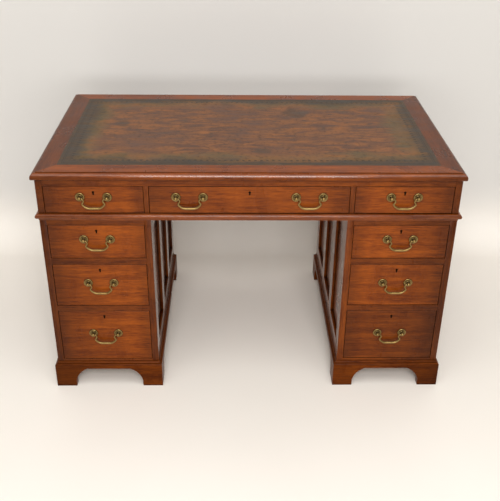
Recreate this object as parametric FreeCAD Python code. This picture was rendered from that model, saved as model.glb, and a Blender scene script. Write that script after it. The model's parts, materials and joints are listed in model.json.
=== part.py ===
import FreeCAD, Part
import math
import os

Vector = FreeCAD.Vector

# A kneehole desk in three sections: a leather-topped frieze with three drawers, on two pedestals with
# three drawers each. Millimetres. X runs across, Y from the drawer fronts to the back, Z up from the floor.
# Y = 0 is on the drawer fronts; save() moves the origin under the middle of the desk's outer box.

# Plan
kneehole_width = 588.0
pedestal_width = 331.0
desk_depth = 725.0
top_overhang = 10.0

# Heights. A pedestal's three drawers share what is left; each opening is drawer_graduation lower than
# the one below it.
desk_height = 769.0
plinth_height = 96.0
bottom_board_thickness = 9.0
drawer_graduation = 36.0
drawer_rail_thickness = 21.0
pedestal_top_rail = 16.0
waist_rail_height = 23.0
frieze_opening = 88.0
frieze_top_rail = 21.0

# Top: a flush leather sheet on a core panel, framed by mitred rails with a thumb-moulded edge
border_width = 66.0
leather_thickness = 1.5
edge_nose = 8.5
edge_undercut = 2.5
edge_radius = 11.5
edge_step = 2.0

# Carcass boards
side_thickness = 20.0
frieze_back_thickness = 18.0
partition_thickness = 14.0
rail_depth = 45.0
runner_width = 28.0
top_frame_depth = 80.0
batten_height = 18.0
batten_depth = 30.0
batten_play = 0.5

# Framed panels of the pedestals
stile_width = 51.0
muntin_width = 55.0
frame_rail_height = 51.0
panel_recess = 10.0
panel_thickness = 8.0
panel_groove = 6.0
panel_play = 0.5
side_panel_count = 3
back_panel_count = 1

# Waist moulding and plinth
waist_projection = 10.0
waist_nose_radius = 8.0
waist_fillet = 1.0
plinth_projection = 10.0
plinth_thickness = 22.0
plinth_moulding_height = 14.0
plinth_nose_radius = 5.0
plinth_fillet = 2.0
foot_width = 65.0
foot_block_height = 22.0
bracket_width = 40.0
bracket_bow = 8.0
arch_height = 70.0
corner_block = 30.0

# Drawers
drawer_gap = 1.5
runner_clearance = 0.3
front_thickness = 20.0
front_easing = 0.8
lining_thickness = 10.0
dovetail_lap = 6.0
dovetail_pitch = 46.0
dovetail_waist = 0.5
dovetail_slope = 1.0 / 6.0
side_set_down = 2.0
drawer_back_thickness = 9.0
drawer_back_set_down = 6.0
drawer_back_set_in = 10.0
drawer_back_housing = 4.0
drawer_bottom_thickness = 6.0
drawer_bottom_rise = 8.0
drawer_bottom_groove = 5.0
drawer_back_room = 12.0
stop_width = 30.0
stop_depth = 8.0
stop_height = 5.0
stop_spread = 160.0
stop_play = 0.3

# Locks and keyholes
keyhole_drop = 19.5
keyhole_radius = 2.6
keyhole_slot = 2.4
keyhole_length = 8.0
escutcheon_wall = 1.0
escutcheon_depth = 3.0
lock_width = 52.0
lock_height = 34.0
lock_depth = 10.0
lock_play = 0.2
bolt_width = 14.0
bolt_depth = 5.0
bolt_length = 12.0

# Swan-neck handles
handle_rise = 9.0
post_spacing = 80.0
centre_handle_offset = 177.0
rosette_radius = 14.0
rosette_rim_radius = 12.4
rosette_rim_height = 3.2
rosette_dish_radius = 7.0
rosette_dish_height = 1.6
post_neck_radius = 4.0
post_neck_reach = 5.0
knob_radius = 5.2
knob_base = 10.0
knob_end_radius = 4.0
knob_reach = 17.0
pivot_reach = 12.5
shank_size = 4.0
shank_play = 0.1
nut_size = 9.0
nut_thickness = 4.0
pin_radius = 1.6
pin_clearance = 0.05
pin_past_centre = 1.0
pin_end_play = 0.4
bail_side_play = 0.6
bail_neck = 28.4
bail_neck_drop = 8.0
bail_shoulder = 32.5
bail_shoulder_drop = 18.5
bail_belly = 19.0
bail_belly_rise = 1.3
bail_drop = 31.5
bail_thin_radius = 2.3
bail_thick_radius = 3.9

# Counts of the flats that stand for turned and cast rounds
rosette_flat_count = 10
bail_flat_count = 6
bail_section_count = 11
pin_flat_count = 6
keyhole_flat_count = 5

quarter_turn = 90.0

# Levels and limits that follow from the sizes above
kneehole_half = kneehole_width / 2
carcass_half = kneehole_half + pedestal_width
bottom_board_top = plinth_height + bottom_board_thickness
pedestal_inner_half = kneehole_half + side_thickness
carcass_inner_half = carcass_half - side_thickness
pedestal_inner_depth = desk_depth - side_thickness
frieze_inner_depth = desk_depth - frieze_back_thickness
top_underside = desk_height - edge_nose - edge_radius - edge_step
frieze_ceiling = top_underside - frieze_top_rail
frieze_floor = frieze_ceiling - frieze_opening
pedestal_height = frieze_floor - waist_rail_height
pedestal_top_rail_base = pedestal_height - pedestal_top_rail

drawer_places = ("lower", "middle", "upper")
rails_between = (len(drawer_places) - 1) * drawer_rail_thickness
mean_opening = (pedestal_top_rail_base - bottom_board_top - rails_between) / len(drawer_places)
drawer_levels = {}
level = bottom_board_top
for index, drawer_place in enumerate(drawer_places):
    opening_height = mean_opening + ((len(drawer_places) - 1) / 2 - index) * drawer_graduation
    drawer_levels[drawer_place] = (level, level + opening_height)
    level += opening_height + drawer_rail_thickness

back_reach = desk_depth + max(top_overhang, waist_projection, plinth_projection)
front_reach = max(knob_reach, top_overhang, waist_projection, plinth_projection)
middle_y = (back_reach - front_reach) / 2


def box(x_limits, y_limits, z_limits):
    """Block between three pairs of limits, each in either order."""
    low = [min(limits) for limits in (x_limits, y_limits, z_limits)]
    high = [max(limits) for limits in (x_limits, y_limits, z_limits)]
    return Part.makeBox(*(b - a for a, b in zip(low, high)), Vector(*low))


def outline(points, place):
    """Closed face through 2-D points; a third value bows the stretch that ends there, to the left."""
    edges = []
    for before, after in zip(points[-1:] + points[:-1], points):
        start, end = place(*before[:2]), place(*after[:2])
        if len(after) == 2:
            edges.append(Part.makeLine(start, end))
            continue
        run, rise = after[0] - before[0], after[1] - before[1]
        bow = after[2] / math.hypot(run, rise)
        middle = place((before[0] + after[0]) / 2 - bow * rise, (before[1] + after[1]) / 2 + bow * run)
        edges.append(Part.Arc(start, middle, end).toShape())
    return Part.Face(Part.Wire(edges))


def quarter_bow(radius):
    """How far a quarter circle stands off its chord."""
    return radius * (1 - math.sqrt(0.5))


def placed(solids, turn, at):
    """Copies turned about Z and moved."""
    copies = []
    for solid in solids:
        copy = solid.copy()
        copy.rotate(Vector(0, 0, 0), Vector(0, 0, 1), turn)
        copy.translate(at)
        copies.append(copy)
    return copies


def mitred_frame(half_x, half_y, at, section, arch=None):
    """Four lengths of one section round a rectangle: front, right, back and left, mitred at the corners.

    A section point is (distance outside the rectangle, height); arch(run, reach) is cut from each length.
    """
    limits = outline(section, lambda out, z: Vector(out, 0, z)).BoundBox
    outside, inside = limits.XMax, -limits.XMin
    lengths = []
    for quarter, (run, reach) in enumerate(((half_x, half_y), (half_y, half_x)) * 2):
        end = run + outside
        bar = outline(section, lambda out, z: Vector(-end, -reach - out, z)).extrude(Vector(2 * end, 0, 0))
        corners = [(-end, -reach - outside), (end, -reach - outside),
                   (run - inside, -reach + inside), (inside - run, -reach + inside)]
        mitre = outline(corners, lambda x, y: Vector(x, y, limits.ZMin)).extrude(Vector(0, 0, limits.ZLength))
        bar = bar.common(mitre)
        if arch:
            bar = bar.cut(arch(run, reach))
        lengths += placed(bar.Solids, quarter * quarter_turn, at)
    return lengths


def frame_and_panel(length, height, panel_count):
    """Stiles, rails, muntins and sunk panels, tongued and grooved, with the show face on y = 0 facing -Y.

    The frame is centred on x and stands on z = 0.
    """
    half = length / 2
    thickness = (0, side_thickness)
    groove = (panel_recess, panel_recess + panel_thickness)
    inner = half - stile_width
    bay = (2 * inner - (panel_count - 1) * muntin_width) / panel_count
    low, high = frame_rail_height, height - frame_rail_height
    solids = []
    for side in (-1, 1):
        stile = box((side * half, side * inner), thickness, (0, height))
        solids.append(stile.cut(box((side * inner, side * (inner + panel_groove)), groove, (0, height))))
    rails = ((0, low), (low - panel_groove, low)), ((high, height), (high, high + panel_groove))
    for limits, channel in rails:
        rail = box((-inner, inner), thickness, limits)
        tongue = box((-inner - panel_groove, inner + panel_groove), groove, limits)
        solids.append(rail.fuse(tongue).cut(box((-half, half), groove, channel)).removeSplitter())
    for index in range(panel_count):
        left = -inner + index * (bay + muntin_width)
        reach = panel_groove - panel_play
        solids.append(box((left - reach, left + bay + reach), groove, (low - reach, high + reach)))
        if index == panel_count - 1:
            continue
        near, far = left + bay, left + bay + muntin_width
        muntin = box((near, far), thickness, (low, high))
        core = near + panel_groove, far - panel_groove
        channels = box((near, far), groove, (low, high)).cut(box(core, groove, (low, high)))
        tongue = box(core, groove, (low - panel_groove, high + panel_groove))
        solids.append(muntin.cut(channels).fuse(tongue).removeSplitter())
    return solids


def top_pieces():
    """Core panel, leather and the four border rails."""
    inner_x = carcass_half + top_overhang - border_width
    inner_y = desk_depth / 2 + top_overhang - border_width
    centre_y = desk_depth / 2
    plan = (-inner_x, inner_x), (centre_y - inner_y, centre_y + inner_y)
    leather_base = desk_height - leather_thickness
    core = box(*plan, (top_underside, leather_base))
    leather = box(*plan, (leather_base, desk_height))
    shoulder = border_width - edge_radius
    nose = top_underside + edge_nose
    section = [(0, top_underside), (border_width - edge_undercut, top_underside),
               (border_width, top_underside + edge_undercut), (border_width, nose),
               (shoulder, nose + edge_radius, -quarter_bow(edge_radius)),
               (shoulder - edge_step, nose + edge_radius), (shoulder - edge_step, desk_height),
               (0, desk_height)]
    return core, leather, mitred_frame(inner_x, inner_y, Vector(0, centre_y, 0), section)


def waist_lengths():
    """Moulding round the foot of the frieze: a half-round nose between fillets, over a short slope."""
    base, crown = pedestal_height, frieze_floor
    neck = waist_projection - waist_nose_radius
    nose_top = crown - waist_fillet
    nose_foot = nose_top - 2 * waist_nose_radius
    toe = waist_fillet / 2
    section = [(0, base), (toe, base), (toe, base + toe), (neck, nose_foot - waist_fillet), (neck, nose_foot),
               (neck, nose_top, -waist_nose_radius), (neck, crown), (0, crown)]
    return mitred_frame(carcass_half, desk_depth / 2, Vector(0, desk_depth / 2, 0), section)


def plinth_pieces(centre_x):
    """Bracket plinth: four moulded boards with shaped arches, and blocks glued into the corners."""
    moulding = plinth_height - plinth_moulding_height
    inside = plinth_projection - plinth_thickness
    nose_top = moulding + plinth_nose_radius
    shoulder = plinth_projection - plinth_nose_radius
    toe = plinth_fillet / 2
    section = [(inside, 0), (plinth_projection, 0), (plinth_projection, moulding),
               (shoulder, nose_top, -quarter_bow(plinth_nose_radius)), (shoulder - toe, nose_top),
               (shoulder - toe, nose_top + plinth_fillet), (toe, plinth_height, toe), (inside, plinth_height)]

    def arch(run, reach):
        foot = run + plinth_projection - foot_width
        flat = foot - bracket_width
        shape = [(-foot, 0), (foot, 0), (foot, foot_block_height), (flat, arch_height, -bracket_bow),
                 (-flat, arch_height), (-foot, foot_block_height, -bracket_bow)]
        near = -reach - plinth_projection
        return outline(shape, lambda x, z: Vector(x, near, z)).extrude(Vector(0, plinth_thickness, 0))

    half_x, half_y = pedestal_width / 2, desk_depth / 2
    solids = mitred_frame(half_x, half_y, Vector(centre_x, half_y, 0), section, arch)
    for x in (-1, 1):
        for y in (-1, 1):
            corner_x, corner_y = x * (half_x + inside), half_y + y * (half_y + inside)
            solids.append(box((centre_x + corner_x, centre_x + corner_x - x * corner_block),
                              (corner_y, corner_y - y * corner_block), (0, plinth_height)))
    return solids


def stops(centre_x, shelf):
    """Two small blocks behind a drawer front, which stop it flush."""
    near = front_thickness + stop_play
    half = stop_width / 2
    return [box((x - half, x + half), (near, near + stop_depth), (shelf, shelf + stop_height))
            for x in (centre_x - stop_spread / 2, centre_x + stop_spread / 2)]


def pedestal_nodes(name, side):
    """The fixed pieces of one pedestal, on the left with side -1 and on the right with side 1."""
    near, far = side * pedestal_inner_half, side * carcass_inner_half
    centre_x = (near + far) / 2
    height = pedestal_height - plinth_height
    frame = frame_and_panel(desk_depth, height, side_panel_count)
    back = frame_and_panel(abs(far - near), height, back_panel_count)
    bottom_board = (plinth_height, bottom_board_top)
    rails = [box((near, far), (0, rail_depth), bottom_board),
             box((near, far), (0, top_frame_depth), (pedestal_top_rail_base, pedestal_height)),
             box((near, far), (pedestal_inner_depth - top_frame_depth, pedestal_inner_depth),
                 (pedestal_top_rail_base, pedestal_height))]
    runners = [box((near, far), (rail_depth, pedestal_inner_depth), bottom_board)]
    for floor, ceiling in drawer_levels.values():
        rails += stops(centre_x, floor)
        highest = floor == drawer_levels[drawer_places[-1]][0]
        above = pedestal_height if highest else ceiling + drawer_rail_thickness
        if not highest:
            rails.append(box((near, far), (0, rail_depth), (ceiling, above)))
        front_end = top_frame_depth if highest else rail_depth
        back_end = pedestal_inner_depth - top_frame_depth if highest else pedestal_inner_depth
        for edge, inward in ((near, side), (far, -side)):
            runners.append(box((edge, edge + inward * runner_width), (front_end, back_end), (ceiling, above)))
    outer_place = Vector(side * carcass_half, desk_depth / 2, plinth_height)
    inner_place = Vector(side * kneehole_half, desk_depth / 2, plinth_height)
    back_place = Vector(centre_x, desk_depth, plinth_height)
    return {
        f"{name}_pedestal_outer_side": placed(frame, side * quarter_turn, outer_place),
        f"{name}_pedestal_inner_side": placed(frame, -side * quarter_turn, inner_place),
        f"{name}_pedestal_back": placed(back, 2 * quarter_turn, back_place),
        f"{name}_pedestal_drawer_rails": rails,
        f"{name}_pedestal_runners": runners,
        f"{name}_pedestal_plinth": plinth_pieces(side * (kneehole_half + pedestal_width / 2)),
    }


partition_centre = kneehole_half + side_thickness / 2
partition_near = partition_centre - partition_thickness / 2
partition_far = partition_centre + partition_thickness / 2


def frieze_nodes():
    """The fixed pieces of the frieze and the battens that keep it in place on the pedestals."""
    whole = (pedestal_height, top_underside)
    low, high = (pedestal_height, frieze_floor), (frieze_ceiling, top_underside)
    widths = (-carcass_inner_half, carcass_inner_half)
    rails = [box(widths, (0, rail_depth), limits) for limits in (low, high)]
    for centre_x in (-1, 0, 1):
        rails += stops(centre_x * (partition_far + carcass_inner_half) / 2, frieze_floor)
    partitions, runners, battens = [], [], []
    for side in (-1, 1):
        partitions.append(box((side * partition_near, side * partition_far), (0, frieze_inner_depth),
                              (frieze_floor, frieze_ceiling)))
        end_strip = side * (carcass_inner_half - runner_width), side * carcass_inner_half
        middle_strip = side * (partition_near - runner_width), side * (partition_far + runner_width)
        for strip in (end_strip, middle_strip):
            for limits in (low, high):
                runners.append(box(strip, (rail_depth, frieze_inner_depth), limits))
        batten = middle_strip[1] + side * batten_play, end_strip[0] - side * batten_play
        front_edge = rail_depth + batten_play
        back_edge = pedestal_inner_depth - batten_depth
        for near in (front_edge, back_edge):
            battens.append(box(batten, (near, near + batten_depth),
                               (pedestal_height, pedestal_height + batten_height)))
    return {
        "frieze_end_left": [box((-carcass_half, -carcass_inner_half), (0, desk_depth), whole)],
        "frieze_end_right": [box((carcass_inner_half, carcass_half), (0, desk_depth), whole)],
        "frieze_back": [box(widths, (frieze_inner_depth, desk_depth), whole)],
        "frieze_rails": rails,
        "frieze_partitions": partitions,
        "frieze_runners": runners,
        "waist_moulding": waist_lengths(),
        "locating_battens": battens,
    }


def dovetails(x_limits, y_waist, y_end, z_limits):
    """Tails along a board's end, flaring from y_waist to y_end."""
    low, high = z_limits
    count = max(2, round((high - low) / dovetail_pitch))
    pitch = (high - low) / count
    waist = pitch * dovetail_waist / 2
    flare = waist + abs(y_end - y_waist) * dovetail_slope
    tails = []
    for index in range(count):
        centre = low + (index + 0.5) * pitch
        corners = [(y_waist, centre - waist), (y_end, centre - flare),
                   (y_end, centre + flare), (y_waist, centre + waist)]
        face = outline(corners, lambda y, z: Vector(x_limits[0], y, z))
        tails.append(face.extrude(Vector(x_limits[1] - x_limits[0], 0, 0)))
    return tails


def keyhole(centre_x, centre_z, growth, y_limits):
    """Keyhole-shaped plug: a round head over a narrow slot, grown all round by growth."""
    radius = keyhole_radius + growth
    half = keyhole_slot / 2 + growth
    foot = keyhole_length + growth
    first = math.asin(half / radius)
    flat_turn = 2 * (math.pi - first) / keyhole_flat_count
    turns = [first + flat * flat_turn for flat in range(keyhole_flat_count + 1)]
    shape = [(-half, -foot), (half, -foot)] + [(radius * math.sin(a), -radius * math.cos(a)) for a in turns]
    face = outline(shape, lambda x, z: Vector(centre_x + x, y_limits[0], centre_z + z))
    return face.extrude(Vector(0, y_limits[1] - y_limits[0], 0))


def ring(centre, along, radius, flats):
    """Corners of a regular polygon about centre, square to along, which lies across Y or along it."""
    first = Vector(1, 0, 0) if abs(along.y) > 0.5 else Vector(0, 1, 0)
    second = along.cross(first)
    angles = [2 * math.pi * (flat + 0.5) / flats for flat in range(flats)]
    return [centre + first * (radius * math.cos(a)) + second * (radius * math.sin(a)) for a in angles]


def faceted(rings):
    """Solid with flat faces through rings of as many corners each."""
    faces = [Part.Face(Part.makePolygon(corners + corners[:1])) for corners in (rings[0], rings[-1])]
    for near, far in zip(rings, rings[1:]):
        for index in range(len(near)):
            a, b, c, d = near[index - 1], near[index], far[index], far[index - 1]
            flat = abs((b - a).cross(d - a).normalize().dot(c - a)) < 1e-6
            for corners in ([[a, b, c, d]] if flat else [[a, b, c], [a, c, d]]):
                faces.append(Part.Face(Part.makePolygon(corners + corners[:1])))
    shell = Part.makeShell(faces)
    shell.sewShape()
    solid = Part.makeSolid(shell)
    if solid.Volume < 0:
        solid.reverse()
    return solid


def pin(start, side, length, radius):
    """Short rod from start along X, to the right with side 1."""
    along = Vector(side, 0, 0)
    ends = (start, start + along * length)
    return faceted([ring(end, along, radius, pin_flat_count) for end in ends])


def rosette_with_post(x, z):
    """Dished rosette, necked post and knob, with a square shank through the drawer front."""
    profile = [(rosette_radius, 0), (rosette_rim_radius, rosette_rim_height),
               (rosette_dish_radius, rosette_dish_height), (post_neck_radius, post_neck_reach),
               (knob_radius, knob_base), (knob_end_radius, knob_reach)]
    forward = Vector(0, -1, 0)
    rings = [ring(Vector(x, -out, z), forward, radius, rosette_flat_count) for radius, out in profile]
    half = shank_size / 2
    shank = box((x - half, x + half), (0, front_thickness), (z - half, z + half))
    return faceted(rings).fuse(shank)


def bail(centre_x, z):
    """Swan-neck bail hanging from its pins, which point outwards into the two posts."""
    end = post_spacing / 2 - knob_radius - bail_side_play
    half = [(end, 0), (bail_neck, bail_neck_drop), (bail_shoulder, bail_shoulder_drop),
            (bail_belly, bail_drop - bail_belly_rise)]
    line = [(-x, drop) for x, drop in half] + [(0, bail_drop)] + half[::-1]
    spine = Part.BSplineCurve()
    spine.interpolate(Points=[Vector(centre_x + x, -pivot_reach, z - drop) for x, drop in line],
                      InitialTangent=Vector(1, 0, 0), FinalTangent=Vector(1, 0, 0))
    rings = []
    for index in range(bail_section_count):
        share = index / (bail_section_count - 1)
        place = spine.FirstParameter + share * (spine.LastParameter - spine.FirstParameter)
        radius = bail_thin_radius + (bail_thick_radius - bail_thin_radius) * math.sin(math.pi * share) ** 3
        rings.append(ring(spine.value(place), spine.tangent(place)[0], radius, bail_flat_count))
    length = knob_radius + bail_side_play + pin_past_centre - pin_end_play
    pins = [pin(Vector(centre_x + side * end, -pivot_reach, z), side, length, pin_radius) for side in (-1, 1)]
    return faceted(rings).fuse(pins)


def pin_hole(x, z, side):
    """Hole for a bail's pin, entering a post's knob from the handle's middle; side is the post's side."""
    length = knob_radius + bail_side_play + pin_past_centre
    start = Vector(x - side * (knob_radius + bail_side_play), -pivot_reach, z)
    radius = (pin_radius + pin_clearance) / math.cos(math.pi / pin_flat_count)
    return pin(start, side, length, radius)


def drawer_nodes(name, x_limits, z_limits, back_limit, handles):
    """One drawer: its front, dovetailed box, brass and bails. handles are the handles' offsets by name."""
    left, right = x_limits[0] + drawer_gap, x_limits[1] - drawer_gap
    centre_x = (left + right) / 2
    front_low, front_high = z_limits[0] + drawer_gap, z_limits[1] - drawer_gap
    side_low, side_high = z_limits[0] + runner_clearance, front_high - side_set_down
    panel_low = side_low + drawer_bottom_rise
    panel_high = panel_low + drawer_bottom_thickness
    box_back = back_limit - drawer_back_room
    back_end = box_back - drawer_back_set_in
    side_runs = (left, left + lining_thickness), (right - lining_thickness, right)
    inner = side_runs[0][1], side_runs[1][0]

    front = box((left, right), (0, front_thickness), (front_low, front_high))
    eased = [edge for edge in front.Edges if all(abs(vertex.Y) < 1e-6 for vertex in edge.Vertexes)]
    front = front.makeChamfer(front_easing, eased)
    back = box((inner[0] - drawer_back_housing, inner[1] + drawer_back_housing),
               (back_end - drawer_back_thickness, back_end), (panel_high, side_high - drawer_back_set_down))
    bottom = box((inner[0] - drawer_bottom_groove, inner[1] + drawer_bottom_groove),
                 (front_thickness - drawer_bottom_groove, back_end), (panel_low, panel_high))
    sides, all_tails = [], []
    for run in side_runs:
        tails = dovetails(run, front_thickness, dovetail_lap, (max(side_low, front_low), side_high))
        board = box(run, (front_thickness, box_back), (side_low, side_high))
        sides.append(board.cut([back, bottom]).fuse(tails).removeSplitter())
        all_tails += tails

    key_z = z_limits[1] - keyhole_drop
    lock_face = front_thickness - lock_depth
    half_lock = lock_width / 2
    pocket = box((centre_x - half_lock, centre_x + half_lock), (lock_face, front_thickness),
                 (front_high - lock_height, front_high))
    half_case = half_lock - lock_play
    case = box((centre_x - half_case, centre_x + half_case), (lock_face, front_thickness),
               (front_high - lock_height + lock_play, front_high))
    bolt_middle = lock_face + lock_depth / 2
    bolt = box((centre_x - bolt_width / 2, centre_x + bolt_width / 2),
               (bolt_middle - bolt_depth / 2, bolt_middle + bolt_depth / 2),
               (front_high - bolt_length, front_high))
    escutcheon = keyhole(centre_x, key_z, escutcheon_wall, (0, escutcheon_depth))
    escutcheon = escutcheon.cut(keyhole(centre_x, key_z, 0, (0, escutcheon_depth)))
    cuts = all_tails + [bottom, pocket, keyhole(centre_x, key_z, escutcheon_wall, (0, lock_face))]
    brass = [escutcheon, case.cut(bolt), bolt]

    post_z = (z_limits[0] + z_limits[1]) / 2 + handle_rise
    hole = shank_size / 2 + shank_play
    nut = nut_size / 2
    nodes = {}
    for handle, offset in handles.items():
        for side in (-1, 1):
            x = centre_x + offset + side * post_spacing / 2
            brass.append(rosette_with_post(x, post_z).cut(pin_hole(x, post_z, side)))
            brass.append(box((x - nut, x + nut), (front_thickness, front_thickness + nut_thickness),
                             (post_z - nut, post_z + nut)))
            cuts.append(box((x - hole, x + hole), (0, front_thickness), (post_z - hole, post_z + hole)))
        nodes[f"{name}_drawer_{handle}"] = [bail(centre_x + offset, post_z)]
    nodes[f"{name}_drawer_front"] = [front.cut(cuts)]
    nodes[f"{name}_drawer_box"] = sides + [back, bottom]
    nodes[f"{name}_drawer_fittings"] = brass
    return nodes


def all_drawers():
    """The nine drawers: three in the frieze and three in each pedestal."""
    nodes = {}
    one = {"bail": 0.0}
    pair = {"left_bail": -centre_handle_offset, "right_bail": centre_handle_offset}
    frieze = (("left", (-carcass_inner_half, -partition_far), one),
              ("centre", (-partition_near, partition_near), pair),
              ("right", (partition_far, carcass_inner_half), one))
    for place, widths, handles in frieze:
        heights = (frieze_floor, frieze_ceiling)
        nodes.update(drawer_nodes(f"frieze_{place}", widths, heights, frieze_inner_depth, handles))
    pedestals = (("left", (-carcass_inner_half, -pedestal_inner_half)),
                 ("right", (pedestal_inner_half, carcass_inner_half)))
    for name, widths in pedestals:
        for place, heights in drawer_levels.items():
            nodes.update(drawer_nodes(f"{name}_{place}", widths, heights, pedestal_inner_depth, one))
    return nodes


def save(node, solids):
    """Writes one node, with the desk's origin on the floor under the middle of its outer box."""
    shape = Part.makeCompound([solid for piece in solids for solid in piece.Solids])
    shape.translate(Vector(0, -middle_y, 0))
    shape.exportStep(f"parts/{node}.step")


def main():
    core, leather, border = top_pieces()
    nodes = {"top_core_panel": [core], "leather_writing_surface": [leather], "top_border_rails": border}
    nodes.update(frieze_nodes())
    nodes.update(pedestal_nodes("left", -1))
    nodes.update(pedestal_nodes("right", 1))
    nodes.update(all_drawers())
    os.makedirs("parts", exist_ok=True)
    for node, solids in nodes.items():
        save(node, solids)


main()
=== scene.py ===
import json
import math

import bmesh
import bpy
from mathutils import Matrix, Vector

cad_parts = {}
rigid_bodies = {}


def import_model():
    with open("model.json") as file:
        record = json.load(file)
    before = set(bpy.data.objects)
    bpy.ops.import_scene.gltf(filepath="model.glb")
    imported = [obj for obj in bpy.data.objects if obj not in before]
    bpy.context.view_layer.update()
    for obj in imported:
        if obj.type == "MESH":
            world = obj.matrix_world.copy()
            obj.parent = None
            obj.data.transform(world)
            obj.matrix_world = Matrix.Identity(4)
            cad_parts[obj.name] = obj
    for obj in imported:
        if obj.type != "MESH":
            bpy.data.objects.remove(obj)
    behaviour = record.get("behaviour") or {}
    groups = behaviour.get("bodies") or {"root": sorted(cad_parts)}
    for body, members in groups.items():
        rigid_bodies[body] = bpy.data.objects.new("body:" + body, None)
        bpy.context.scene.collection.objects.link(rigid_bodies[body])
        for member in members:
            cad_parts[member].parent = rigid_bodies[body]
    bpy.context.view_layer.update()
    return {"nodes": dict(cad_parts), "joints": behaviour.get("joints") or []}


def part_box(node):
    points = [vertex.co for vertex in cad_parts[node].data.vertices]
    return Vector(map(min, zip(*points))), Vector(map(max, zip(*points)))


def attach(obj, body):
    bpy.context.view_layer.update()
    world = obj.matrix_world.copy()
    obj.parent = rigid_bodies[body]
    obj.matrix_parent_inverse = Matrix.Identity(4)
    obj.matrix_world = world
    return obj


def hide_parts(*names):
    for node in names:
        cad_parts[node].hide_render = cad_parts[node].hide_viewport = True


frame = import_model()
nodes = frame["nodes"]
hinges = [joint for joint in frame["joints"] if joint["type"] == "hinge"]

# Sizes in metres, in the frame of the solids
TOP_MIDDLE_Y = 0.0035
LEATHER_HALF_X = 0.569
LEATHER_HALF_Y = 0.3065
PEDESTAL_MIDDLE_X = 0.4595
PEDESTAL_MIDDLE_Y = 0.0035
SIDE_STILE_FROM = 0.3115
BACK_STILE_FROM = 0.0945
FRAME_RAIL_TOP = 0.147
FRAME_RAIL_BASE = 0.564

# Brass, in metres
POST_SPACING = 0.080
PIN_RADIUS = 0.0016
PIN_LENGTH = 0.0064
PIN_ROOT = 0.001
SHANK = 0.004
NUT = 0.009
NUT_THICKNESS = 0.004
FRONT_THICKNESS = 0.020
# Outline of a rosette with its post and knob: radius, and height above the drawer front
ROSETTE = [(0.0140, 0.0), (0.0140, 0.0010), (0.0135, 0.0021), (0.0124, 0.0030), (0.0112, 0.0031),
           (0.0100, 0.0025), (0.0085, 0.0017), (0.0068, 0.0015), (0.0054, 0.0022), (0.0044, 0.0036),
           (0.0039, 0.0055), (0.0039, 0.0072), (0.0045, 0.0088), (0.0052, 0.0103), (0.0054, 0.0120),
           (0.0052, 0.0140), (0.0045, 0.0158), (0.0030, 0.0167), (0.0008, 0.0170)]
ROSETTE_SIDES = 40
# Half of a bail's middle line: distance from the handle's middle, and drop below the pins
BAIL_HALF = [(0.0342, 0.0), (0.0284, 0.0080), (0.0325, 0.0185), (0.0190, 0.0302), (0.0, 0.0315)]
BAIL_END_SLOPE = Vector((0.010, 0, 0))
BAIL_STEPS = 12
BAIL_SIDES = 16
BAIL_THIN = 0.0022
BAIL_THICK = 0.0038
KEYHOLE_DROP = 0.018
KEYHOLE_RADIUS = 0.0026
KEYHOLE_SLOT = 0.0012
KEYHOLE_LENGTH = 0.008
KEYHOLE_STEPS = 24
ESCUTCHEON_WALL = 0.001
ESCUTCHEON_DEPTH = 0.003
ESCUTCHEON_PLAY = 0.00002
LOCK_HALF_WIDTH = 0.0258
LOCK_HEIGHT = 0.0338
LOCK_DEPTH = 0.010
LOCK_PLAY = 0.0002
BOLT_HALF_WIDTH = 0.007
BOLT_DEPTH = 0.005
BOLT_HEIGHT = 0.004

# Places of the lock's and the keyhole's material in a drawer's brasswork, after the bright brass
LOCK_SLOT_NUMBER = 1
KEYHOLE_SLOT_NUMBER = 2

# Eased edges and smooth shading, with widths in metres
BOARD_EASING = 0.0008
RAIL_EASING = 0.0006
BATTEN_EASING = 0.001
NO_EASING = 0.0
EASED_SEGMENTS = 2
EASED_FROM_DEGREES = 40
WELD_DISTANCE = 0.00001
FLAT_DEGREES = 0.5

# Camera, found from the photograph
CAMERA_PLACE = Vector((-0.0456, -2.4420, 1.6706))
CAMERA_YAW = -0.02316
CAMERA_PITCH = -0.50756
CAMERA_ROLL = -0.01159
CAMERA_LENS = 56.1

# Floor and backdrop, in metres
SWEEP_FROM_Y = 0.5
SWEEP_RADIUS = 0.16
SWEEP_STEPS = 24
FLOOR_REACH = 9.0
BACKDROP_HEIGHT = 5.0


def srgb(red, green, blue):
    """Linear colour of an sRGB colour given from 0 to 255."""
    def linear(value):
        value /= 255
        return value / 12.92 if value <= 0.04045 else ((value + 0.055) / 1.055) ** 2.4
    return linear(red), linear(green), linear(blue), 1.0


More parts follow.
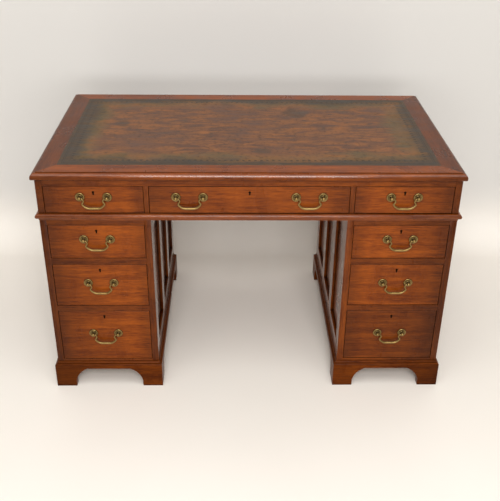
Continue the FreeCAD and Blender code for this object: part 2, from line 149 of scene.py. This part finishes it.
class Graph:
    """Builds the shader nodes of one material."""

    def __init__(self, name):
        self.material = bpy.data.materials.new(name)
        self.material.use_nodes = True
        self.tree = self.material.node_tree
        self.tree.nodes.clear()

    def node(self, kind, inputs=None, **settings):
        made = self.tree.nodes.new(kind)
        for name, value in settings.items():
            setattr(made, name, value)
        for name, value in (inputs or {}).items():
            self.feed(made.inputs[name], value)
        return made

    def feed(self, socket, value):
        if isinstance(value, bpy.types.NodeSocket):
            self.tree.links.new(value, socket)
        else:
            socket.default_value = value

    def math(self, operation, *values):
        made = self.node("ShaderNodeMath", operation=operation)
        for socket, value in zip(made.inputs, values):
            self.feed(socket, value)
        return made.outputs[0]

    def vector(self, operation, *values):
        made = self.node("ShaderNodeVectorMath", operation=operation)
        for socket, value in zip(made.inputs, values):
            self.feed(socket, value)
        return made.outputs[0]

    def place(self, kind="Object"):
        return self.node("ShaderNodeTexCoord").outputs[kind]

    def split(self, vector):
        return self.node("ShaderNodeSeparateXYZ", {"Vector": vector}).outputs[:3]

    def join(self, x, y, z):
        return self.node("ShaderNodeCombineXYZ", {"X": x, "Y": y, "Z": z}).outputs[0]

    def board(self):
        """A number from 0 to 1 of its own for each loose piece of each object."""
        island = self.node("ShaderNodeNewGeometry").outputs["Random Per Island"]
        whole = self.node("ShaderNodeObjectInfo").outputs["Random"]
        return self.math("FRACT", self.math("ADD", island, whole))

    def noise(self, vector, scale, detail=3.0, roughness=0.5, distortion=0.0):
        inputs = {"Vector": vector, "Scale": scale, "Detail": detail, "Roughness": roughness,
                  "Distortion": distortion}
        return self.node("ShaderNodeTexNoise", inputs).outputs["Fac"]

    def ramp(self, value, low, high, start=0.0, end=1.0):
        """Smooth step of value from low to high, going from start to end."""
        inputs = {"Value": value, "From Min": low, "From Max": high, "To Min": start, "To Max": end}
        made = self.node("ShaderNodeMapRange", inputs, interpolation_type="SMOOTHSTEP")
        return made.outputs["Result"]

    def mix(self, factor, first, second, blend="MIX"):
        made = self.node("ShaderNodeMix", data_type="RGBA", blend_type=blend)
        self.feed(made.inputs["Factor"], factor)
        self.feed(made.inputs[6], first)
        self.feed(made.inputs[7], second)
        return made.outputs[2]

    def mix_vectors(self, factor, first, second):
        made = self.node("ShaderNodeMix", data_type="VECTOR")
        self.feed(made.inputs["Factor"], factor)
        self.feed(made.inputs[4], first)
        self.feed(made.inputs[5], second)
        return made.outputs[1]

    def stretched(self, vector, along, across, detail=3.0, roughness=0.5, distortion=0.0):
        """Noise with along waves per metre on the grain's line and across waves per metre beside it."""
        scaled = self.vector("MULTIPLY", vector, (along, across, across))
        return self.noise(scaled, 1.0, detail, roughness, distortion)

    def normal(self):
        """X, Y and Z of the surface's direction."""
        return self.split(self.node("ShaderNodeNewGeometry").outputs["Normal"])

    def crevice(self, distance):
        """Near 0 in corners and near 1 in the open."""
        inputs = {"Distance": distance}
        return self.node("ShaderNodeAmbientOcclusion", inputs, samples=8).outputs["AO"]

    def bump(self, height, strength, distance):
        inputs = {"Height": height, "Strength": strength, "Distance": distance}
        return self.node("ShaderNodeBump", inputs).outputs["Normal"]

    def finish(self, **inputs):
        inputs = {name.replace("_", " "): value for name, value in inputs.items()}
        shader = self.node("ShaderNodeBsdfPrincipled", inputs)
        output = self.node("ShaderNodeOutputMaterial")
        self.tree.links.new(shader.outputs[0], output.inputs["Surface"])
        return self.material


def along_x(graph, place):
    return place


def along_y(graph, place):
    x, y, z = graph.split(place)
    return graph.join(y, z, x)


def along_z(graph, place):
    x, y, z = graph.split(place)
    return graph.join(z, x, y)


def on_side_rail(graph, place):
    """1 on the side rails of the top's border and 0 on its front and back rails."""
    x, y = graph.split(place)[:2]
    past_x = graph.math("SUBTRACT", graph.math("ABSOLUTE", x), LEATHER_HALF_X)
    from_middle = graph.math("ABSOLUTE", graph.math("SUBTRACT", y, TOP_MIDDLE_Y))
    past_y = graph.math("SUBTRACT", from_middle, LEATHER_HALF_Y)
    return graph.math("GREATER_THAN", past_x, past_y)


def along_border(graph, place):
    """Grain along each border rail of the top."""
    x, y, z = graph.split(place)
    return graph.mix_vectors(on_side_rail(graph, place), place, graph.join(y, x, z))


def along_faces(graph, place):
    """Grain along X on faces towards the front and back, and along Y on faces towards the sides."""
    x, y, z = graph.split(place)
    normal = graph.split(graph.node("ShaderNodeNewGeometry").outputs["True Normal"])
    sideways = graph.math("ABSOLUTE", normal[0])
    side = graph.math("GREATER_THAN", sideways, graph.math("ABSOLUTE", normal[1]))
    return graph.mix_vectors(side, place, graph.join(y, x, z))


def framed(across, middle, stile_from):
    """Grain of a framed panel: along the rails between the stiles, and upright elsewhere.

    across is 0 for a panel that is wide along X, and 1 for one that is wide along Y.
    """
    def grain(graph, place):
        x, y, z = graph.split(place)
        position = graph.math("ABSOLUTE", x) if across == 0 else y
        from_middle = graph.math("ABSOLUTE", graph.math("SUBTRACT", position, middle))
        between = graph.math("LESS_THAN", from_middle, stile_from)
        rail = graph.math("MAXIMUM", graph.math("LESS_THAN", z, FRAME_RAIL_TOP),
                          graph.math("GREATER_THAN", z, FRAME_RAIL_BASE))
        level = place if across == 0 else graph.join(y, z, x)
        return graph.mix_vectors(graph.math("MULTIPLY", between, rail), graph.join(z, x, y), level)
    return grain


def on_sides(graph):
    """Near 1 on faces towards the left and right."""
    return graph.ramp(graph.math("ABSOLUTE", graph.normal()[0]), 0.3, 0.8)


def on_upper_edges(graph):
    """Near 1 where an edge along X is rounded between its top and its front or back."""
    normal = graph.normal()
    slant = graph.math("ABSOLUTE", graph.math("MULTIPLY", normal[1], normal[2]))
    return graph.ramp(slant, 0.15, 0.4)


def mahogany(name, grain, tone, shine=0.15, coat=0.0, coat_mask=None, end_shade=False):
    """Polished mahogany.

    tone is its brightness, coat_mask says where the clear polish is rubbed bright, and end_shade darkens the
    ends of a drawer front.
    """
    graph = Graph(name)
    board = graph.board()
    shift = graph.vector("MULTIPLY", graph.join(board, board, board), (3.1, 1.7, 2.3))
    straight = graph.vector("ADD", grain(graph, graph.place()), shift)
    wander = graph.stretched(straight, 2.0, 7.0, 2.0)
    drift = graph.math("MULTIPLY", graph.math("SUBTRACT", wander, 0.5), 0.02)
    bent = graph.vector("ADD", straight, graph.join(0.0, drift, drift))
    bands = graph.stretched(bent, 3.0, 46.0, 4.0, 0.55)
    fibre = graph.stretched(bent, 9.0, 260.0, 4.0, 0.6)
    flecks = graph.stretched(bent, 36.0, 420.0, 2.0, 0.6)
    mottle = graph.stretched(straight, 16.0, 7.0)
    pores = graph.ramp(graph.stretched(bent, 60.0, 1100.0, 1.0), 0.60, 0.72)

    figure = graph.math("MULTIPLY_ADD", bands, 0.5, graph.math("MULTIPLY", fibre, 0.45))
    figure = graph.math("MULTIPLY_ADD", flecks, 0.45, figure)
    figure = graph.math("MULTIPLY_ADD", mottle, 0.35, figure)
    figure = graph.ramp(figure, 0.62, 1.13)
    colour = graph.mix(figure, srgb(82, 32, 4), srgb(140, 68, 10))
    colour = graph.mix(graph.math("MULTIPLY", pores, 0.45), colour, srgb(46, 17, 4))

    shade = graph.math("MULTIPLY", graph.math("MULTIPLY_ADD", board, 0.16, 0.92), tone)
    if end_shade:
        left_right = graph.split(graph.place("Generated"))[0]
        from_end = graph.math("ABSOLUTE", graph.math("SUBTRACT", left_right, 0.5))
        ends = graph.ramp(graph.math("MULTIPLY_ADD", mottle, 0.06, from_end), 0.34, 0.53, 1.0, 0.68)
        shade = graph.math("MULTIPLY", shade, ends)
    # Painted light falloff: faces towards the front and back darken towards the desk's left and right ends
    normal = graph.normal()
    from_middle = graph.math("ABSOLUTE", graph.split(graph.place())[0])
    outer = graph.ramp(graph.math("MULTIPLY_ADD", mottle, 0.06, from_middle), 0.42, 0.68, 0.0, -0.4)
    outer = graph.math("MULTIPLY_ADD", outer, graph.math("ABSOLUTE", normal[1]), 1.0)
    shade = graph.math("MULTIPLY", shade, outer)
    if grain is along_border:
        # The side rails are darker, and painted shade darkens faces that point level or down, such as the
        # underside of the moulded edge
        rail_shade = graph.ramp(on_side_rail(graph, graph.place()), 0.0, 1.0, 1.0, 0.5)
        shade = graph.math("MULTIPLY", shade, rail_shade)
        shade = graph.math("MULTIPLY", shade, graph.ramp(normal[2], -0.2, 0.6, 0.6, 1.0))
    # Dirt and painted shade: darker in corners, gaps and recesses
    grime_and_shade = graph.ramp(graph.crevice(0.012), 0.3, 0.9, 0.2, 1.0)
    shade = graph.math("MULTIPLY", shade, grime_and_shade)
    colour = graph.mix(1.0, colour, graph.join(shade, shade, shade), "MULTIPLY")
    relief = graph.math("SUBTRACT", graph.math("MULTIPLY", fibre, 0.3), pores)
    if coat_mask:
        coat = graph.math("MULTIPLY", coat_mask(graph), coat)
    return graph.finish(Base_Color=colour, Roughness=graph.ramp(mottle, 0.3, 0.7, 0.26, 0.36),
                        Specular_IOR_Level=shine, Coat_Weight=coat, Coat_Roughness=0.1,
                        Normal=graph.bump(relief, 0.12, 0.0002))


def lining_wood(name, grain):
    """Bare, slightly grubby wood of the drawer linings and the hidden runners."""
    graph = Graph(name)
    board = graph.board()
    shift = graph.vector("MULTIPLY", graph.join(board, board, board), (2.3, 3.7, 1.9))
    straight = graph.vector("ADD", grain(graph, graph.place()), shift)
    bands = graph.stretched(straight, 1.2, 26.0, 4.0, 0.5, 0.4)
    fibre = graph.stretched(straight, 8.0, 300.0, 4.0, 0.6)
    stains = graph.noise(straight, 5.0, 3.0)
    figure = graph.math("MULTIPLY_ADD", bands, 0.7, graph.math("MULTIPLY", fibre, 0.4))
    colour = graph.mix(graph.ramp(figure, 0.36, 0.8), srgb(122, 84, 50), srgb(186, 146, 98))
    colour = graph.mix(graph.ramp(stains, 0.5, 0.75, 0.0, 0.4), colour, srgb(104, 70, 42))
    return graph.finish(Base_Color=colour, Roughness=0.65, Normal=graph.bump(fibre, 0.25, 0.0003))


def tooled_leather():
    """Worn hide: dark at the edges, rubbed brown in the middle, with a tooled border."""
    graph = Graph("worn_tooled_leather")
    place = graph.place()
    x, y, z = graph.split(place)
    from_end = graph.math("SUBTRACT", LEATHER_HALF_X, graph.math("ABSOLUTE", x))
    off_middle = graph.math("ABSOLUTE", graph.math("SUBTRACT", y, TOP_MIDDLE_Y))
    from_long_edge = graph.math("SUBTRACT", LEATHER_HALF_Y, off_middle)
    inset = graph.math("MINIMUM", from_end, from_long_edge)

    clouds = graph.noise(place, 4.5, 4.0, 0.55)
    streaks = graph.noise(graph.vector("MULTIPLY", place, (11.0, 50.0, 1.0)), 1.0, 5.0, 0.65, 0.6)
    speckle = graph.noise(place, 70.0, 4.0, 0.6)
    reach = graph.math("MULTIPLY_ADD", graph.math("SUBTRACT", clouds, 0.5), 0.16, inset)
    reach = graph.math("MULTIPLY_ADD", graph.math("SUBTRACT", streaks, 0.5), 0.08, reach)
    worn = graph.ramp(reach, 0.02, 0.08)
    tan = graph.mix(graph.ramp(streaks, 0.36, 0.66), srgb(80, 46, 26), srgb(140, 88, 48))
    tan = graph.mix(graph.ramp(clouds, 0.5, 0.68, 0.0, 0.6), tan, srgb(92, 62, 48))
    olive = graph.mix(graph.ramp(clouds, 0.4, 0.62), srgb(92, 74, 38), srgb(124, 82, 38))
    rubbed = graph.mix(graph.ramp(reach, 0.05, 0.12), olive, tan)
    dark = graph.mix(graph.ramp(streaks, 0.40, 0.62), srgb(54, 43, 31), srgb(80, 60, 40))
    colour = graph.mix(worn, dark, rubbed)
    blots = graph.ramp(graph.noise(place, 9.0, 2.0), 0.60, 0.72, 0.0, 0.55)
    colour = graph.mix(blots, colour, srgb(62, 50, 36))
    colour = graph.mix(graph.ramp(speckle, 0.48, 0.72, 0.0, 0.6), colour, srgb(56, 38, 22))

    def line(centre, half_width):
        """Near 1 on a line at this distance from the leather's edge."""
        off = graph.math("ABSOLUTE", graph.math("SUBTRACT", inset, centre))
        return graph.ramp(off, half_width * 0.4, half_width, 1.0, 0.0)

    at_end = graph.math("LESS_THAN", from_end, from_long_edge)
    run = graph.mix_vectors(at_end, place, graph.join(y, x, z))
    step = graph.math("PINGPONG", graph.split(run)[0], 0.009)
    beads = graph.math("MULTIPLY", line(0.036, 0.006), graph.ramp(step, 0.0025, 0.0045, 1.0, 0.0))
    lines = graph.math("MAXIMUM", line(0.012, 0.0016), line(0.017, 0.0011))
    tooling = graph.math("MAXIMUM", lines, beads)
    colour = graph.mix(graph.math("MULTIPLY", tooling, 0.7), colour, srgb(26, 24, 20))

    grain = graph.node("ShaderNodeTexVoronoi", {"Vector": place, "Scale": 520.0}).outputs["Distance"]
    relief = graph.math("SUBTRACT", graph.math("MULTIPLY_ADD", speckle, 0.5, grain), tooling)
    shine = graph.ramp(streaks, 0.3, 0.7, 0.34, 0.5)
    return graph.finish(Base_Color=colour, Roughness=shine, Specular_IOR_Level=0.2,
                        Normal=graph.bump(relief, 0.25, 0.0004))


def aged_brass():
    """Cast brass, rubbed bright on what stands out and brown in the hollows."""
    graph = Graph("aged_brass")
    place = graph.place()
    patches = graph.noise(place, 260.0, 4.0, 0.6)
    fine = graph.noise(place, 1500.0, 3.0)
    open_part = graph.ramp(graph.crevice(0.008), 0.5, 1.0)
    wear = graph.math("MULTIPLY_ADD", patches, 0.4, graph.math("MULTIPLY", open_part, 0.7))
    rubbed = graph.ramp(wear, 0.35, 0.9)
    colour = graph.mix(rubbed, srgb(36, 27, 9), srgb(134, 110, 64))
    rough = graph.ramp(rubbed, 0.0, 1.0, 0.55, 0.34)
    return graph.finish(Base_Color=colour, Metallic=0.8, Roughness=rough,
                        Normal=graph.bump(fine, 0.08, 0.0002))


def lock_metal():
    """Dull dark brass of the lock cases, shanks and nuts."""
    graph = Graph("lock_metal")
    patches = graph.noise(graph.place(), 140.0, 4.0, 0.6)
    colour = graph.mix(graph.ramp(patches, 0.35, 0.7), srgb(38, 30, 16), srgb(86, 72, 42))
    # Painted shade: nearly black in corners and recesses, such as the lock's face seen through a keyhole
    colour = graph.mix(graph.ramp(graph.crevice(0.02), 0.2, 0.6), srgb(6, 4, 2), colour)
    rough = graph.ramp(patches, 0.3, 0.7, 0.42, 0.6)
    return graph.finish(Base_Color=colour, Metallic=0.85, Roughness=rough)


def keyhole_shade_brass():
    """Nearly black lining of the keyholes: painted shade inside the holes."""
    graph = Graph("keyhole_shade_brass")
    patches = graph.noise(graph.place(), 900.0, 3.0)
    # Painted shade: the keyhole lining is nearly black
    colour = graph.mix(graph.ramp(patches, 0.35, 0.7), srgb(10, 7, 4), srgb(34, 24, 12))
    return graph.finish(Base_Color=colour, Specular_IOR_Level=0.05, Roughness=0.6)


def smoothing(degrees, widest=1.0):
    """Geometry nodes that shade smooth within flat surfaces and over gentle edges between small faces.

    An edge is gentle below degrees. The faces beside it are small where their mean area is below widest, in
    square metres. Edges where more than two faces meet stay sharp.
    """
    group = bpy.data.node_groups.new(f"smooth_below_{degrees}", "GeometryNodeTree")
    group.interface.new_socket("Geometry", in_out="INPUT", socket_type="NodeSocketGeometry")
    group.interface.new_socket("Geometry", in_out="OUTPUT", socket_type="NodeSocketGeometry")
    join = group.links.new

    def math_node(operation, first, second):
        made = group.nodes.new("ShaderNodeMath")
        made.operation = operation
        join(first, made.inputs[0])
        if isinstance(second, bpy.types.NodeSocket):
            join(second, made.inputs[1])
        else:
            made.inputs[1].default_value = second
        return made.outputs[0]

    start = group.nodes.new("NodeGroupInput")
    end = group.nodes.new("NodeGroupOutput")
    plain = group.nodes.new("GeometryNodeRemoveAttribute")
    plain.inputs["Name"].default_value = "custom_normal"
    faces = group.nodes.new("GeometryNodeSetShadeSmooth")
    edges = group.nodes.new("GeometryNodeSetShadeSmooth")
    edges.domain = "EDGE"
    angle = group.nodes.new("GeometryNodeInputMeshEdgeAngle").outputs["Unsigned Angle"]
    beside = group.nodes.new("GeometryNodeInputMeshEdgeNeighbors").outputs["Face Count"]
    area = group.nodes.new("GeometryNodeInputMeshFaceArea").outputs["Area"]
    gentle = math_node("LESS_THAN", angle, math.radians(degrees))
    simple = math_node("LESS_THAN", beside, 2.5)
    narrow = math_node("LESS_THAN", area, widest)
    flat = math_node("LESS_THAN", angle, math.radians(FLAT_DEGREES))
    curved = math_node("MULTIPLY", gentle, narrow)
    smooth = math_node("MULTIPLY", simple, math_node("MAXIMUM", flat, curved))
    join(start.outputs[0], plain.inputs["Geometry"])
    join(plain.outputs[0], faces.inputs["Geometry"])
    join(faces.outputs[0], edges.inputs["Geometry"])
    join(smooth, edges.inputs["Shade Smooth"])
    join(edges.outputs[0], end.inputs[0])
    return group


smooth_wood = smoothing(degrees=24, widest=0.005)
smooth_brass = smoothing(degrees=45)


def ease(obj, width):
    """Rounds a piece's sharp edges a little."""
    weld = obj.modifiers.new("weld", "WELD")
    weld.merge_threshold = WELD_DISTANCE
    if width:
        bevel = obj.modifiers.new("ease", "BEVEL")
        bevel.width = width
        bevel.segments = EASED_SEGMENTS
        bevel.limit_method = "ANGLE"
        bevel.angle_limit = math.radians(EASED_FROM_DEGREES)
    smooth = obj.modifiers.new("smooth", "NODES")
    smooth.node_group = smooth_wood


def paint(obj, *materials):
    """Gives obj these materials. Clearing would reset the faces' material numbers, so new meshes skip it."""
    if obj.data.materials:
        obj.data.materials.clear()
    for material in materials:
        obj.data.materials.append(material)


def new_object(name, mesh):
    obj = bpy.data.objects.new(name, mesh)
    bpy.context.collection.objects.link(obj)
    return obj


def mesh_object(name, form):
    """Object with the faces of form, smooth over gentle edges."""
    bmesh.ops.recalc_face_normals(form, faces=form.faces)
    mesh = bpy.data.meshes.new(name)
    form.to_mesh(mesh)
    form.free()
    obj = new_object(name, mesh)
    obj.modifiers.new("smooth", "NODES").node_group = smooth_brass
    return obj


def skin(form, rings):
    """Faces through rings of vertices, with the first and last ring closed."""
    form.faces.new(rings[0])
    form.faces.new(rings[-1])
    for near, far in zip(rings, rings[1:]):
        for index in range(len(near)):
            form.faces.new((near[index - 1], near[index], far[index], far[index - 1]))


def circle(form, centre, first, second, radius, count):
    """Ring of count vertices round centre, in the plane of the unit vectors first and second."""
    corners = []
    for index in range(count):
        angle = 2 * math.pi * index / count
        offset = first * math.cos(angle) + second * math.sin(angle)
        corners.append(form.verts.new(centre + offset * radius))
    return corners


def block(form, low, high, material=0):
    """Box between two corners."""
    made = bmesh.ops.create_cube(form, size=1.0)
    size = Vector(high) - Vector(low)
    middle = (Vector(high) + Vector(low)) / 2
    for vertex in made["verts"]:
        vertex.co = middle + Vector((vertex.co.x * size.x, vertex.co.y * size.y, vertex.co.z * size.z))
    for face in {face for vertex in made["verts"] for face in vertex.link_faces}:
        face.material_index = material


def turned_rosette(form, x, front, z):
    """Rosette, post and knob turned about Y, with the shank and nut behind."""
    level = Vector((1, 0, 0))
    upright = Vector((0, 0, 1))
    skin(form, [circle(form, Vector((x, front - out, z)), level, upright, radius, ROSETTE_SIDES)
                for radius, out in ROSETTE])
    back = front + FRONT_THICKNESS
    block(form, (x - SHANK / 2, front, z - SHANK / 2), (x + SHANK / 2, back, z + SHANK / 2),
          LOCK_SLOT_NUMBER)
    block(form, (x - NUT / 2, back, z - NUT / 2), (x + NUT / 2, back + NUT_THICKNESS, z + NUT / 2),
          LOCK_SLOT_NUMBER)


def keyhole_ring(form, x, y, z, growth):
    """Keyhole outline of vertices, grown all round."""
    radius = KEYHOLE_RADIUS + growth
    half = KEYHOLE_SLOT + growth
    first = math.asin(half / radius)
    corners = [(-half, -KEYHOLE_LENGTH - growth), (half, -KEYHOLE_LENGTH - growth)]
    for index in range(KEYHOLE_STEPS + 1):
        angle = first + 2 * (math.pi - first) * index / KEYHOLE_STEPS
        corners.append((radius * math.sin(angle), -radius * math.cos(angle)))
    return [form.verts.new((x + across, y, z + up)) for across, up in corners]


def escutcheon(form, x, front, z):
    """Thin brass lining of a keyhole."""
    wall = ESCUTCHEON_WALL - ESCUTCHEON_PLAY
    section = [(0.0, wall), (ESCUTCHEON_DEPTH, wall), (ESCUTCHEON_DEPTH, 0.0), (0.0, 0.0)]
    rings = [keyhole_ring(form, x, front + depth, z, growth) for depth, growth in section]
    for near, far in zip(rings, rings[1:] + rings[:1]):
        for index in range(len(near)):
            face = form.faces.new((near[index - 1], near[index], far[index], far[index - 1]))
            face.material_index = KEYHOLE_SLOT_NUMBER


def bail_line():
    """Points along the bail from its left pin to its right one, as offsets from the handle's middle."""
    left = [Vector((-x, 0, -drop)) for x, drop in BAIL_HALF]
    right = [Vector((x, 0, -drop)) for x, drop in BAIL_HALF[-2::-1]]
    knots = left + right
    inner_slopes = [(after - before) / 2 for before, after in zip(knots, knots[2:])]
    slopes = [BAIL_END_SLOPE, *inner_slopes, BAIL_END_SLOPE]
    points = []
    for index in range(len(knots) - 1):
        for step in range(BAIL_STEPS):
            t = step / BAIL_STEPS
            leave = knots[index] * (2 * t ** 3 - 3 * t ** 2 + 1) + slopes[index] * (t ** 3 - 2 * t ** 2 + t)
            arrive = knots[index + 1] * (3 * t ** 2 - 2 * t ** 3) + slopes[index + 1] * (t ** 3 - t ** 2)
            points.append(leave + arrive)
    return points + knots[-1:]


def cast_bail(name, pivot):
    """Swan-neck bail with its two pins."""
    form = bmesh.new()
    points = [pivot + offset for offset in bail_line()]
    depth = Vector((0, 1, 0))
    rings = []
    for index, point in enumerate(points):
        along = (points[min(index + 1, len(points) - 1)] - points[max(index - 1, 0)]).normalized()
        share = index / (len(points) - 1)
        radius = BAIL_THIN + (BAIL_THICK - BAIL_THIN) * math.sin(math.pi * share) ** 3
        rings.append(circle(form, point, depth, along.cross(depth), radius, BAIL_SIDES))
    skin(form, rings)
    upright = Vector((0, 0, 1))
    for end, side in ((points[0], -1), (points[-1], 1)):
        pin = [circle(form, end + Vector((side * out, 0, 0)), depth, upright, PIN_RADIUS, BAIL_SIDES)
               for out in (-PIN_ROOT, PIN_LENGTH)]
        skin(form, pin)
    return mesh_object(name, form)


def brasswork(drawer, pivots):
    """Rosettes, nuts, escutcheon and lock of one drawer."""
    low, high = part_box(f"{drawer}_front")
    middle = (low.x + high.x) / 2
    form = bmesh.new()
    for pivot in pivots:
        for side in (-1, 1):
            turned_rosette(form, pivot.x + side * POST_SPACING / 2, low.y, pivot.z)
    escutcheon(form, middle, low.y, high.z - KEYHOLE_DROP)
    lock_face = high.y - LOCK_DEPTH
    block(form, (middle - LOCK_HALF_WIDTH, lock_face, high.z - LOCK_HEIGHT),
          (middle + LOCK_HALF_WIDTH, high.y, high.z - LOCK_PLAY), LOCK_SLOT_NUMBER)
    bolt_middle = lock_face + LOCK_DEPTH / 2
    block(form, (middle - BOLT_HALF_WIDTH, bolt_middle - BOLT_DEPTH / 2, high.z - BOLT_HEIGHT),
          (middle + BOLT_HALF_WIDTH, bolt_middle + BOLT_DEPTH / 2, high.z))
    return mesh_object(f"{drawer}_brasswork", form)


brass = aged_brass()
lock = lock_metal()
keyhole_shade = keyhole_shade_brass()
front_wood = mahogany("mahogany_front", along_x, 1.16, end_shade=True)
frieze_wood = mahogany("mahogany_frieze", along_x, 1.04, end_shade=True)
dark_wood = mahogany("mahogany_dark_front", along_x, 0.7, end_shade=True)
level_wood = mahogany("mahogany_level", along_x, 0.78)
rail_wood = mahogany("mahogany_rail", along_x, 0.7)
end_wood = mahogany("mahogany_end", along_y, 0.7)
upright_wood = mahogany("mahogany_upright", along_z, 0.6)
side_grain = framed(1, PEDESTAL_MIDDLE_Y, SIDE_STILE_FROM)
outer_wood = mahogany("mahogany_outer_side", side_grain, 0.62, coat=0.15, coat_mask=on_sides)
inner_wood = {
    "left": mahogany("mahogany_left_inner_side", side_grain, 0.56, coat=0.7, coat_mask=on_sides),
    "right": mahogany("mahogany_right_inner_side", side_grain, 0.8, coat=0.42, coat_mask=on_sides),
}
back_wood = mahogany("mahogany_framed_back", framed(0, PEDESTAL_MIDDLE_X, BACK_STILE_FROM), 0.6)
border_wood = mahogany("mahogany_border", along_border, 1.2, coat=0.9, coat_mask=on_upper_edges)
moulding_wood = mahogany("mahogany_moulding", along_faces, 0.9, coat=0.35)
plinth_wood = mahogany("mahogany_plinth", along_faces, 0.66, shine=0.06)
lining_x = lining_wood("lining_level", along_x)
lining_y = lining_wood("lining_deep", along_y)

wood_of = {
    "top_border_rails": (border_wood, NO_EASING),
    "waist_moulding": (moulding_wood, NO_EASING),
    "frieze_end_left": (end_wood, BOARD_EASING),
    "frieze_end_right": (end_wood, BOARD_EASING),
    "frieze_back": (level_wood, BOARD_EASING),
    "frieze_rails": (level_wood, RAIL_EASING),
    "frieze_partitions": (upright_wood, RAIL_EASING),
    "frieze_runners": (lining_y, BOARD_EASING),
    "locating_battens": (lining_x, BATTEN_EASING),
    "top_core_panel": (lining_x, NO_EASING),
}
for side in ("left", "right"):
    wood_of[f"{side}_pedestal_outer_side"] = (outer_wood, BOARD_EASING)
    wood_of[f"{side}_pedestal_inner_side"] = (inner_wood[side], BOARD_EASING)
    wood_of[f"{side}_pedestal_back"] = (back_wood, BOARD_EASING)
    wood_of[f"{side}_pedestal_drawer_rails"] = (rail_wood, RAIL_EASING)
    wood_of[f"{side}_pedestal_runners"] = (lining_y, BOARD_EASING)
    wood_of[f"{side}_pedestal_plinth"] = (plinth_wood, NO_EASING)
for name in nodes:
    if name.endswith("_drawer_front"):
        wood_of[name] = (frieze_wood if name.startswith("frieze") else front_wood, NO_EASING)
    if name.endswith("_drawer_box"):
        wood_of[name] = (lining_y, RAIL_EASING)
wood_of["right_lower_drawer_front"] = (dark_wood, NO_EASING)
for name, (material, width) in wood_of.items():
    paint(nodes[name], material)
    ease(nodes[name], width)
paint(nodes["leather_writing_surface"], tooled_leather())

drawers = {}
for hinge in hinges:
    pivot = Vector(hinge["pos_m"])
    drawers.setdefault(hinge["parent"], []).append(pivot)
    piece = cast_bail(f"{hinge['child']}_cast", pivot)
    paint(piece, brass)
    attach(piece, hinge["child"])
    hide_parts(hinge["child"])
for drawer, pivots in drawers.items():
    piece = brasswork(drawer, pivots)
    paint(piece, brass, lock, keyhole_shade)
    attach(piece, drawer)
    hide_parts(f"{drawer}_fittings")


def sweep():
    """Pale floor that curves up into a backdrop.

    The backdrop is clear from behind, where the floor goes on.
    """
    graph = Graph("studio_paper")
    cloud = graph.noise(graph.place(), 1.3, 3.0)
    tint = graph.mix(graph.ramp(cloud, 0.3, 0.7, 0.0, 0.1), srgb(250, 245, 238), srgb(226, 218, 208))
    height = graph.split(graph.place())[2]
    tint = graph.mix(graph.ramp(height, 0.0, 0.3), tint, srgb(216, 214, 211))
    material = graph.finish(Base_Color=tint, Roughness=0.7)
    behind = graph.node("ShaderNodeNewGeometry").outputs["Backfacing"]
    mixed = graph.node("ShaderNodeMixShader", {"Fac": behind})
    graph.feed(mixed.inputs[1], graph.tree.nodes["Principled BSDF"].outputs[0])
    graph.feed(mixed.inputs[2], graph.node("ShaderNodeBsdfTransparent").outputs[0])
    graph.feed(graph.tree.nodes["Material Output"].inputs["Surface"], mixed.outputs[0])

    line = [(-FLOOR_REACH, 0.0)]
    for step in range(SWEEP_STEPS + 1):
        angle = math.pi / 2 * step / SWEEP_STEPS
        rise = SWEEP_RADIUS * (1 - math.cos(angle))
        line.append((SWEEP_FROM_Y + SWEEP_RADIUS * math.sin(angle), rise))
    line.append((SWEEP_FROM_Y + SWEEP_RADIUS, BACKDROP_HEIGHT))
    sides = (-FLOOR_REACH, FLOOR_REACH)
    corners = [(x, y, z) for y, z in line for x in sides]
    faces = [(row, row + 1, row + 3, row + 2) for row in range(0, len(corners) - 2, 2)]
    first = len(corners)
    corners += [(x, y, 0.0) for y in (SWEEP_FROM_Y, FLOOR_REACH) for x in sides]
    faces.append((first, first + 1, first + 3, first + 2))
    mesh = bpy.data.meshes.new("sweep")
    mesh.from_pydata(corners, [], faces)
    mesh.shade_smooth()
    obj = new_object("sweep", mesh)
    paint(obj, material)


def soft_light(name, place, target, size, power, colour):
    """Rectangular area light that points from place to target."""
    light = bpy.data.lights.new(name, "AREA")
    light.shape = "RECTANGLE"
    light.size, light.size_y = size
    light.energy = power
    light.color = colour
    obj = new_object(name, light)
    obj.location = place
    obj.rotation_mode = "QUATERNION"
    obj.rotation_quaternion = (Vector(target) - Vector(place)).to_track_quat("-Z", "Y")


sweep()
soft_light("high_front", (0.05, -4.0, 3.2), (0, 0, 0.4), (1.9, 1.4), 102.0, (1.0, 0.99, 0.98))
soft_light("low_front", (0.05, -4.2, 1.1), (0, 0, 0.4), (1.9, 0.8), 42.0, (1.0, 0.99, 0.98))
soft_light("overhead", (0.0, -1.7, 3.4), (0, -0.6, 0.4), (3.4, 2.0), 50.0, (1.0, 0.99, 0.97))

scene = bpy.context.scene
world = bpy.data.worlds.new("studio")
world.use_nodes = True
world.node_tree.nodes["Background"].inputs["Color"].default_value = (1.0, 0.945, 0.85, 1.0)
world.node_tree.nodes["Background"].inputs["Strength"].default_value = 0.33
scene.world = world
scene.view_settings.view_transform = "Standard"

camera = bpy.data.objects.new("camera", bpy.data.cameras.new("camera"))
bpy.context.collection.objects.link(camera)
camera.data.lens = CAMERA_LENS
forward = Vector((-math.sin(CAMERA_YAW) * math.cos(CAMERA_PITCH),
                  math.cos(CAMERA_YAW) * math.cos(CAMERA_PITCH), math.sin(CAMERA_PITCH)))
level = Vector((math.cos(CAMERA_YAW), math.sin(CAMERA_YAW), 0))
upward = level.cross(forward)
right = level * math.cos(CAMERA_ROLL) - upward * math.sin(CAMERA_ROLL)
up = level * math.sin(CAMERA_ROLL) + upward * math.cos(CAMERA_ROLL)
turn = Matrix((right, up, -forward)).transposed().to_4x4()
camera.matrix_world = Matrix.Translation(CAMERA_PLACE) @ turn
scene.camera = camera
